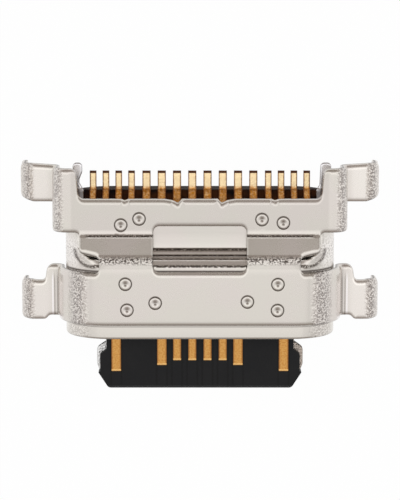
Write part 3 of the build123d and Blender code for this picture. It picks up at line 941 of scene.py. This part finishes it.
@dataclass
class InnerShell:
    """Rolled tube of full-round section, its top pressed down at a step, with a dovetail seam below."""

    half_flat: float = 2.89
    round_radius: float = 1.50
    length: float = 4.40
    wall: float = 0.22
    slopes: tuple[Triple, ...] = (
        (2.30, 0.23, 0.04), (2.36, 1.06, 0.03), (2.42, 0.44, 0.03), (2.57, 1.02, 0.03), (2.63, 0.62, 0.03),
        (2.68, 1.11, 0.03), (2.73, 0.40, 0.03), (2.82, 1.15, 0.03), (2.92, 0.08, 0.05), (3.05, 0.05, 0.1),
        (3.3, 0.0, 0.2))
    ridge: float = 0.06
    seam_gap: float = 0.03
    key_y: float = 1.55
    key_length: float = 1.10
    key_neck: float = 0.70
    key_depth: float = 0.42
    corner: float = 0.09
    fine_reach: float = 5.2

    def __post_init__(self) -> None:
        """Set up the half section from the middle of the top, round the side, to the seam."""
        runs = (Run(self.half_flat), bend(self.round_radius, -180), Run(self.half_flat))
        self.section = Profile((0.0, self.round_radius), 0.0, runs)
        self.half_girth = float(self.section.at[-1])

    def form(self, flat: Points) -> Points:
        """Wrap the flat sheet: the section at the distance from its middle, or the step where that is lower.

        Args:
            flat: Points in the flat sheet.

        Returns:
            Their places.
        """
        side = self.section.points(np.abs(flat[:, 0]))
        y = flat[:, 1]
        height = lower_of(side[:, 1], self.round_radius - descent(y, self.slopes), self.ridge)
        height = np.where(side[:, 1] > 0, height, side[:, 1])
        return np.stack((np.sign(flat[:, 0]) * side[:, 0], y, height), 1)

    def outline(self) -> Points:
        """Flat outline whose two long edges are the halves of the dovetail seam.

        Returns:
            Its points.
        """
        edge = self.half_girth - self.seam_gap / 2
        neck, end = (self.key_length - self.key_neck) / 2, self.key_y + self.key_length
        keys = ((0.0, 0.0), (0.0, self.key_y + neck), (self.key_depth, self.key_y), (self.key_depth, end),
                (0.0, end - neck), (0.0, self.length))
        return mirrored(*([(edge + way * out, y, self.corner) for out, y in keys] for way in (-1, 1)))

    def build(self, finish: Material) -> None:
        """Make the tube, its filling close together over the step on the upper side.

        Args:
            finish: Its plating.
        """
        across = both_sides(self.section.stations(0.24, 0.075))
        above = np.abs(across) < self.fine_reach
        front, rear = (0.08, 2.2, 12), (3.1, 4.32, 9)
        filling = np.vstack((lattice(across[above], spread(front, (2.26, 2.99, 50), rear)),
                             lattice(across[~above], spread(front, (2.4, 3.0, 4), rear))))
        edge = CutEdge(0.08, 1.0, 0.05, 0.0, lower=0.04)
        sheet = FormedSheet([self.outline()], filling, self.wall, self.form, edge)
        sheet.build("shell_tube", finish, "shell_nickel", "inner_shell")


@dataclass
class OuterCover:
    """Formed sheet over the shell: high band, ramp, low band with two arms, and four solder legs."""

    thickness: float = 0.20
    half_flat: float = 2.92
    top_z: float = 1.71
    low_z: float = 1.26
    slopes: tuple[Triple, ...] = (
        (2.44, 0.41, 0.60), (3.31, 1.0, 0.03), (3.375, 0.34, 0.03), (3.42, 0.22, 0.04), (3.47, 0.10, 0.04),
        (3.53, 0.0, 0.04))
    foot: float = 0.15
    rear_foot: float = 0.10
    arm_bend: float = 0.54
    wall_x: float = 4.78
    flange_z: float = -0.27
    leg_x: float = 5.89
    leg_bend: float = 0.36
    leg_length: float = 0.69
    taper: float = 0.06
    rear_taper: float = 0.18
    flare: float = 0.03
    tip_corner: Pair = (0.26, 0.12)
    front_y: float = 0.47
    rear_y: float = 4.54
    shared_x: float = 3.89
    shoulder_x: float = 5.02
    shoulder_foot_x: float = 5.10
    front_tab: Pair = (0.33, 1.64)
    rear_tab: Pair = (4.25, 5.515)
    arm_rear: Pair = (5.465, 5.525)
    arm_end_x: float = 4.00
    band_rear_y: float = 2.18
    notch: tuple[float, float, float, float] = (3.25, 2.72, 2.86, 3.45)
    opening: float = 3.915
    window: Triple = (1.51, 2.23, 3.66)
    window_corner: float = 0.2
    nicks: tuple[Pair, ...] = ((2.43, 0.05), (0.71, 0.13))
    ridge: float = 0.10
    opened: Triple = (2.30, 0.40, 0.4)
    welds: tuple[Pair, ...] = (
        (-2.55, 3.70), (-1.96, 3.90), (2.00, 3.88), (2.69, 3.77), (-2.40, 1.84),
        (-2.35, 0.99), (-1.44, 1.22), (2.51, 1.83), (2.50, 0.98), (1.53, 1.26))
    weld_ring: float = 0.201
    weld_pit: float = 0.05
    weld_clear: float = 0.29
    weld_sides: int = 30
    weld_rows: tuple[float, ...] = (
        0.02, 0.04, 0.06, 0.08, 0.11, 0.14, 0.165, 0.18, 0.19, 0.20, 0.21, 0.22, 0.23, 0.245, 0.27)

    def __post_init__(self) -> None:
        """Set up the two half sections, over the band with its front leg and over an arm with its rear leg."""
        flange = self.leg_x - self.leg_bend
        end = (bend(self.leg_bend, -90), Run(self.leg_length))
        front = (Run(self.half_flat), bend(self.top_z, -90),
                 Run(-self.flange_z - self.foot), bend(self.foot, 90),
                 Run(flange - self.half_flat - self.top_z - self.foot), *end)
        rear = (Run(self.wall_x - self.arm_bend), bend(self.arm_bend, -90),
                Run(self.low_z - self.arm_bend - self.flange_z - self.rear_foot), bend(self.rear_foot, 90),
                Run(flange - self.wall_x - self.rear_foot), *end)
        self.front = Profile((0.0, self.top_z), 0.0, front)
        self.rear = Profile((0.0, self.low_z), 0.0, rear)
        self.drop = (self.top_z - self.low_z) / descent(np.array([FAR]), self.slopes)[0]
        self.shared = float(self.over_round(np.array([self.shared_x]))[0])
        self.extra = self.shared - self.shared_x

    def over_round(self, x: np.ndarray) -> np.ndarray:
        """Distance along the band's section above an X on its flat or its round."""
        reach = np.clip((x - self.half_flat) / self.top_z, 0, 1)
        return np.minimum(x, self.half_flat) + self.top_z * np.arcsin(reach)

    def form(self, flat: Points) -> Points:
        """Bend the flat sheet.

        Up to the notch's outer edge the first coordinate is X itself, and the height is the lower of the
        ramp and the band's section, which opens out behind the band. Past it, it is the distance along the
        section.

        Args:
            flat: Points in the flat sheet.

        Returns:
            Their places.
        """
        u, y = np.abs(flat[:, 0]), flat[:, 1]
        inner = u <= self.shared_x
        over = self.over_round(np.minimum(u, self.shared_x))
        band = self.front.points(np.where(inner, over, u + self.extra))
        start, length, rise = self.opened
        opened = band[:, 1] + rise * np.clip((y - start) / length, 0, 1) ** 2
        ramp = self.top_z - descent(y, self.slopes) * self.drop
        middle = np.stack((u, lower_of(opened, ramp, self.ridge)), 1)
        outside = np.where((y < self.notch[1])[:, None], band, self.rear.points(u))
        place = np.where(inner[:, None], middle, outside)
        return np.stack((np.sign(flat[:, 0]) * place[:, 0], y, place[:, 1]), 1)

    def outline(self) -> Points:
        """Flat outline, the right half and then its mirror image.

        Returns:
            Its points.
        """
        front, rear = self.front.at - self.extra, self.rear.at
        on_flange = front[4] - self.half_flat - self.top_z - self.foot
        shoulder, root = on_flange + self.shoulder_x, on_flange + self.shoulder_foot_x
        f0, f1, f_tip = front[5:8]
        r0, r1, r_tip = rear[5:8]
        wall = rear[3] + 0.05
        (a, b), (c, d), (e, f) = self.front_tab, self.rear_tab, self.arm_rear
        (nx, ny, no, nr), back, shared = self.notch, self.band_rear_y, self.shared_x
        (front_tip, rear_tip), edge = self.tip_corner, self.rear_y
        corners = [
            (shoulder - 0.06, self.front_y, 0.13), (shoulder + 0.08, a, 0.13), (f0, a, 0.3),
            (f1, a + self.taper, 0.3), (f_tip, a + self.taper, front_tip), (f_tip, b + self.flare, front_tip),
            (f0, b + self.flare, 0.5), (f0 - 0.15, b, 0.5), (root, b, 0.14), (shoulder, back, 0.26),
            (nx, back, 0.16), (nx, ny, 0.16), (shared, no, 0.16), (shared, nr, 0.16), (wall, nr, 0.14),
            (wall, c, 0.06), (r0 - 0.08, c, 0.3), (r1, c + self.rear_taper, 0.3),
            (r_tip, c + self.rear_taper, rear_tip), (r_tip, d, rear_tip), (r0, d, 0.5), (wall, e, 0.3),
            (self.wall_x - 0.1, f, 0.3), (self.arm_end_x, f, 0.20), (self.opening, edge, 0.20)]
        for x, depth in self.nicks:
            corners += [(x + 3.5 * depth, edge, 0.3), (x + 1.3 * depth, edge - 0.35 * depth, 0.1),
                        (x, edge - depth, 0.04), (x - 0.13, edge, 0.04)]
        return mirrored(corners)

    def away(self, flat: Points) -> np.ndarray:
        """Distance from the nearest weld mark."""
        return np.linalg.norm(flat[:, None] - np.array(self.welds)[None], axis=2).min(1)

    def upper_shade(self, flat: Points) -> np.ndarray:
        """Painted shade in the weld marks: bell curves over the ring groove and the pit."""
        away = self.away(flat)
        return 0.85 * bell(away, self.weld_ring, 0.014) + 0.35 * bell(away, 0.0, self.weld_pit)

    def marks(self, flat: Points) -> np.ndarray:
        """Depth of the weld marks: a narrow ring groove, a low swell inside it and a pit, each a bell curve.

        Args:
            flat: Points in the flat sheet.

        Returns:
            The depth at each.
        """
        away = self.away(flat)
        return (0.034 * bell(away, self.weld_ring, 0.015) - 0.012 * bell(away, 0.135, 0.045)
                + 0.045 * bell(away, 0.0, self.weld_pit))

    def filling(self) -> Points:
        """Points inside the outline: a lattice, close on the bends, and circles round each weld mark.

        Returns:
            The points, in the flat sheet.
        """
        shared = spread((0, 2.8, 14), (2.9, self.shared_x, 16))
        band = np.concatenate((shared, self.front.stations(0.22, 0.08, (self.shared, FAR)) - self.extra))
        arm = np.concatenate((shared, self.rear.stations(0.22, 0.05, (self.shared_x, FAR))))
        ramp = spread((2.10, 2.76, 17), (2.85, 3.22, 4), (3.27, 3.57, 21))
        grid = [lattice(both_sides(across), along) for across, along in (
            (band, spread((0.36, 2.05, 14))), (shared, ramp), (arm, spread((3.62, 5.42, 16))))]
        welds = np.array(self.welds)
        turns = np.linspace(0, 2 * math.pi, self.weld_sides, endpoint=False)
        circles = np.array(self.weld_rows)[:, None, None] * around(turns)
        rings = (welds[:, None, None] + circles).reshape(-1, 2)
        return np.vstack((spaced(np.vstack(grid), welds, self.weld_clear), welds, rings))

    def build(self, finish: Material) -> None:
        """Make the cover with its window.

        Args:
            finish: Its plating.
        """
        half, front, rear = self.window
        window = mirrored([(half, y, self.window_corner) for y in (front, rear)])[::-1]
        sheet = FormedSheet([self.outline(), window], self.filling(), self.thickness, self.form,
                            relief=self.marks, upper_shade=self.upper_shade)
        sheet.build("formed_cover", finish, "cover_nickel", "outer_cover")


@dataclass
class MidPlate:
    """Flat sheet between the contact rows, with latch lugs in front and two legs stepped down behind."""

    thickness: float = 0.15
    fold: float = 0.135
    start_y: float = -1.56
    rear_y: float = 4.30
    ledge_y: float = 4.64
    low_z: float = -0.395
    end_y: float = 5.53
    corner: float = 0.13

    def __post_init__(self) -> None:
        """Set up the upper side's line, two arcs joined by a slope."""
        angle = math.atan2(-self.low_z, self.ledge_y - self.rear_y)
        cut = self.fold * math.tan(angle / 2)
        half, turn = self.thickness / 2, math.degrees(angle)
        slope = math.hypot(self.low_z, self.ledge_y - self.rear_y) - 2 * cut
        runs = (Run(self.rear_y - cut - self.start_y), bend(self.fold + half, -turn), Run(slope),
                bend(self.fold - half, turn), Run(self.end_y - self.ledge_y - cut))
        self.line = Profile((self.start_y, half), 0.0, runs)
        self.extra = float(self.line.at[-1] + self.start_y - self.end_y)

    def form(self, flat: Points) -> Points:
        """Step the flat sheet down along the line."""
        line = self.line.points(flat[:, 1] - self.start_y)
        return np.column_stack((flat[:, 0], line))

    def half_plan(self, leg: Sequence[Corner]) -> list[Corner]:
        """Corners of the right half: nose, lug, arm and leg.

        Args:
            leg: Corners of the leg, their Y being measured on the bent part.

        Returns:
            All of them, in the flat sheet.
        """
        front = [(2.70, self.start_y, 0.20), (2.70, -1.30, 0.04), (3.31, -1.30, 0.05), (3.39, -1.10, 0.2),
                 (3.39, -0.53, 0.2), (3.10, -0.33, 0.04), (3.10, 2.80, 0.04), (3.98, 2.80, 0.2),
                 (3.98, 4.22, 0.0)]
        leg = [(x, y + self.extra, radius) for x, y, radius in leg]
        return [*front, *leg, (3.80, 4.22, 0.0), (3.80, 3.55, 0.03)]

    def build(self, finish: Material) -> None:
        """Make the plate, each leg with its own head.

        Args:
            finish: Its plating.
        """
        end, corner = self.end_y, self.corner
        right = self.half_plan([(4.30, 4.93, 0.1), (4.30, end, corner), (3.95, end, corner), (3.92, 4.80, 0.1),
                                (3.80, 4.62, 0.1)])
        left = self.half_plan([(4.17, 4.91, 0.1), (4.17, end, corner), (3.855, end, corner), (3.855, 5.22, 0.1),
                               (3.95, 4.98, 0.1), (3.95, 4.86, 0.1), (3.80, 4.62, 0.1)])
        slot = mirrored([(2.2, 0.6, 0.25), (2.2, 1.9, 0.25)])[::-1]
        grid = lattice(spread((-4.25, 4.25, 69)), spread((-1.5, 4.1, 24), (4.2, 4.9, 12), (5.0, 5.6, 7)))
        sheet = FormedSheet([mirrored(right, left), slot], grid, self.thickness, self.form,
                            CutEdge(0.06, 1.0, 0.04, 0.0, lower=0.03))
        sheet.build("stepped_plate", finish, "plate_steel", "mid_plate")


@dataclass
class Contacts:
    """Sixteen stamped and bent strips in two rows, with their tails in one row."""

    thickness: float = 0.15
    row_z: float = 0.275
    pitch: float = 0.50
    slots: int = 12
    ends: tuple[tuple[tuple[int, ...], float, float], ...] = (
        ((1, 12), -1.29, 0.32), ((4, 9), -1.09, 0.32), ((5, 6, 7, 8), -0.93, 0.27))
    order: str = "a1 b12 a4 b9 b8 a5 b7 a6 a7 b6 a8 b5 b4 a9 b1 a12"
    tail_widths: Pair = (0.268, 0.218)
    outer_tail_x: float = 2.24
    outer_pitch: float = 0.42
    tail_mid_z: float = -0.395
    tail_end_y: float = 5.26
    bend_radius: float = 0.135
    fan: Pair = (2.65, 3.55)
    corner: float = 0.022

    def side_view(self, front_y: float, side: int) -> Profile:
        """Middle line of a contact from its front end to its tail's end, with a small arc at each bend.

        Args:
            front_y: Y of its front end.
            side: 1 for the upper row and -1 for the lower.

        Returns:
            The line in Y and Z.
        """
        row_z, tail_z = side * self.row_z, self.tail_mid_z
        points = np.array(((front_y, row_z), (3.64, row_z), (3.92, 0.0), (4.30, 0.0), (4.64, tail_z),
                           (self.tail_end_y, tail_z)))
        steps = np.diff(points, axis=0)
        heading = np.arctan2(steps[:, 1], steps[:, 0])
        turns = np.diff(heading)
        cut = self.bend_radius * np.tan(np.abs(turns) / 2)
        straight = np.linalg.norm(steps, axis=1) - np.append(cut, 0) - np.append(0, cut)
        runs = [Run(straight[0])]
        for turn, length in zip(turns, straight[1:]):
            runs += [bend(self.bend_radius, math.degrees(turn)), Run(length)]
        return Profile(tuple(points[0]), heading[0], runs)

    def tail(self, order: int) -> Pair:
        """Where a tail stands: the middle eight keep the pitch, and the rest are closer.

        Args:
            order: Its place from the left.

        Returns:
            Its X and width.
        """
        middle = order - 7.5
        if abs(middle) < 4:
            return middle * self.pitch, self.tail_widths[0]
        away = self.outer_tail_x + (abs(middle) - 4.5) * self.outer_pitch
        return math.copysign(away, middle), self.tail_widths[1]

    def strip(self, label: str, order: int) -> tuple[Points, list, np.ndarray]:
        """One contact: a rounded rectangle carried along its side view, shifted across where it fans out.

        Args:
            label: Row and slot, such as a4.
            order: Place of its tail from the left.

        Returns:
            Vertices in millimetres, faces and the painted shading of each vertex.
        """
        side, slot = (1 if label[0] == "a" else -1), int(label[1:])
        x = side * (slot - (self.slots + 1) / 2) * self.pitch
        front_y, width = next((y, wide) for slots, y, wide in self.ends if slot in slots)
        tail_x, tail_width = self.tail(order)
        line = self.side_view(front_y, side)
        near_ends = [0.0, 0.02, 0.055, 0.075, line.at[-1] - 0.02]
        at = np.unique(np.concatenate((line.stations(0.30, 0.03), near_ends)))
        middle = line.points(at)
        ahead = unit(line.points(at + NUDGE) - line.points(at - NUDGE))
        up = np.stack((-ahead[:, 1], ahead[:, 0]), 1)
        share = np.clip((middle[:, 0] - self.fan[0]) / (self.fan[1] - self.fan[0]), 0, 1)
        centre = x + (tail_x - x) * share
        half_width = (width + (tail_width - width) * share) / 2
        edge = self.corner * np.array((1.0, 0.87, 0.5, 0.0))
        inner, high = half_width[:, None] - self.corner, self.thickness / 2 - self.corner
        right = np.hstack((inner + edge, inner - 0.045, inner * 0.0))
        lift = np.concatenate((high + edge[::-1], [high + self.corner] * 2))
        across = np.hstack((right, -right[:, -2::-1], -right[:, :-1], right[:, ::-1]))
        over = np.concatenate((lift, lift[-2::-1], -lift[:-1], -lift[::-1]))
        place = np.stack((centre[:, None] + across, middle[:, None, 0] + up[:, None, 0] * over,
                          middle[:, None, 1] + up[:, None, 1] * over), -1)
        rows, columns = place.shape[:2]
        number = np.arange(rows * columns).reshape(rows, columns)
        nxt = np.roll(number, -1, 1)
        quads = np.stack((number[:-1], number[1:], nxt[1:], nxt[:-1]), -1).reshape(-1, 4)
        faces = quads.tolist() + [number[0].tolist(), number[-1][::-1].tolist()]
        # Painted shade along the rounded edges, and a painted highlight on the front end, marked -1.
        painted_shading = np.where(np.abs(across) > half_width[:, None] - self.corner - 0.01, 1.0, 0.0)
        painted_shading[at < 0.06] = -1.0
        return place.reshape(-1, 3), faces, painted_shading.reshape(-1)

    def build(self, finish: Material) -> None:
        """Make all sixteen.

        Args:
            finish: Their plating.
        """
        for order, label in enumerate(self.order.split()):
            vertices, faces, painted_shading = self.strip(label, order)
            piece(f"strip_{label}", vertices, faces, None, finish, f"contact_{label}", painted_shading)


@dataclass
class Studio:
    """Camera at the photograph's angle, pale floor and soft light."""

    target: Triple = (0.0, 2.064, 0.0)
    distance: float = 80.0
    tilt: float = 9.6
    focal_px: float = 30.6 * 79.65
    offset_px: Pair = (-0.1, 18.8)
    image: tuple[int, int] = (400, 500)
    floor_z: float = -1.505
    floor_radius: float = 2.0
    floor_sides: int = 96
    glow: float = 0.98
    room: Colour = (0.37, 0.33, 0.305)
    levels: tuple[float, ...] = (1.0, 1.34, 0.79, 0.87)

    def camera(self) -> None:
        """Camera leaning back from straight above, aimed a little past its target, as photographed."""
        lean = math.radians(self.tilt)
        back = Vector((0.0, math.sin(lean), math.cos(lean)))
        up = Vector((0.0, math.cos(lean), -math.sin(lean)))
        eye = Vector(self.target) + self.distance * back
        pixel = self.distance / self.focal_px
        right_px, up_px = self.offset_px
        aim = Vector(self.target) + up * up_px * pixel - Vector((1, 0, 0)) * right_px * pixel
        data = bpy.data.cameras.new("photo_camera")
        data.sensor_width = 36.0
        data.lens = self.focal_px * data.sensor_width / max(self.image)
        data.clip_start, data.clip_end = 0.001, 10.0
        made = added("photo_camera", data)
        ahead = (aim - eye).normalized()
        right = ahead.cross(up).normalized()
        turn = Matrix((right, right.cross(ahead), -ahead)).transposed()
        made.matrix_world = Matrix.Translation(eye * MM) @ turn.to_4x4()
        bpy.context.scene.camera = made

    def floor(self) -> None:
        """Round pale floor: white to the camera and in reflections, with the part's shadow kept faintly."""
        rim = around(np.linspace(0, 2 * math.pi, self.floor_sides, endpoint=False)) * self.floor_radius
        mesh = bpy.data.meshes.new("floor")
        corners = [(x, y, self.floor_z * MM) for x, y in rim.tolist()]
        mesh.from_pydata(corners, [], [range(self.floor_sides)])
        graph = Graph("floor_white")
        path = graph.node("ShaderNodeLightPath", {}, "Is Camera Ray")
        seen = path + path.beside("Is Glossy Ray") + path.beside("Is Transmission Ray")
        cloth = graph.node("ShaderNodeBsdfDiffuse", {"Color": (0.86, 0.86, 0.86, 1.0)})
        glow = graph.node("ShaderNodeEmission", {"Color": (1.0, 1.0, 1.0, 1.0), "Strength": 1.0})
        both = graph.node("ShaderNodeMixShader", {0: seen.at_most(1.0) * self.glow, 1: cloth, 2: glow})
        graph.node("ShaderNodeOutputMaterial", {"Surface": both})
        mesh.materials.append(graph.material)
        added("floor", mesh)

    def light(self) -> None:
        """Soft light from a bright overhead, dimmer sides and a dark front and back of the room."""
        world = bpy.data.worlds.new("studio_light")
        world.use_nodes = True
        bpy.context.scene.world = world
        graph = Graph("studio_light", world.node_tree)
        x, y, _ = graph.parts(graph.node("ShaderNodeTexCoord", {}, "Generated"))
        plain, overhead, right, left = ((level,) * 3 for level in self.levels)
        shine = graph.blend(y.step(-0.16, 0.14), plain, overhead)
        colour = graph.blend(y.step(0.26, 0.64) + y.step(-0.14, -0.80), shine, self.room)
        sides = graph.blend(x.step(0.45, 0.9), plain, right)
        sides = graph.blend(x.step(-0.45, -0.9), sides, left)
        colour = graph.blend(1.0, colour, sides, "MULTIPLY")
        shade = graph.node("ShaderNodeBackground", {"Color": colour, "Strength": 1.0})
        graph.node("ShaderNodeOutputWorld", {"Surface": shade})

    def build(self) -> None:
        """Set up the view, floor and light."""
        scene = bpy.context.scene
        scene.view_settings.view_transform = "Standard"
        self.camera()
        self.floor()
        self.light()


def dress(nodes: Sequence[str], finish: Material) -> None:
    """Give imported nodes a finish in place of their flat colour.

    Args:
        nodes: Names of the nodes.
        finish: Their new material.
    """
    for name in nodes:
        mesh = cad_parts[name].data
        mesh.materials.clear()
        mesh.materials.append(finish)


def main() -> None:
    """Build every sub-assembly in order."""
    logging.basicConfig(level=logging.INFO, format="%(name)s: %(message)s")
    shell = NickelFinish("shell_plating", BendZone.SHELL, (0.67, 0.635, 0.585), (0.68, 0.63, 0.59), gloss=0.22)
    plate = NickelFinish("plate_plating", BendZone.PLATE, (0.88, 0.87, 0.86), (0.92, 0.90, 0.89),
                         (0.58, 0.57, 0.57), (1.0, 0.99, 0.98))
    # The blocks' painted reflection of the gold tails is darker.
    blocks = ResinFinish("block_resin", shine=0.02, rib_x=(), rear=(0.055, 0.018, 0.006))
    InnerShell().build(shell.material())
    OuterCover().build(NickelFinish("cover_plating", BendZone.COVER).material())
    Contacts().build(GoldFinish("contact_plating").material())
    MidPlate().build(plate.material())
    dress(("tongue_body",), ResinFinish("tongue_resin").material())
    dress(("upper_block", "lower_block"), blocks.material())
    Studio().build()


if __name__ == "__main__":
    main()
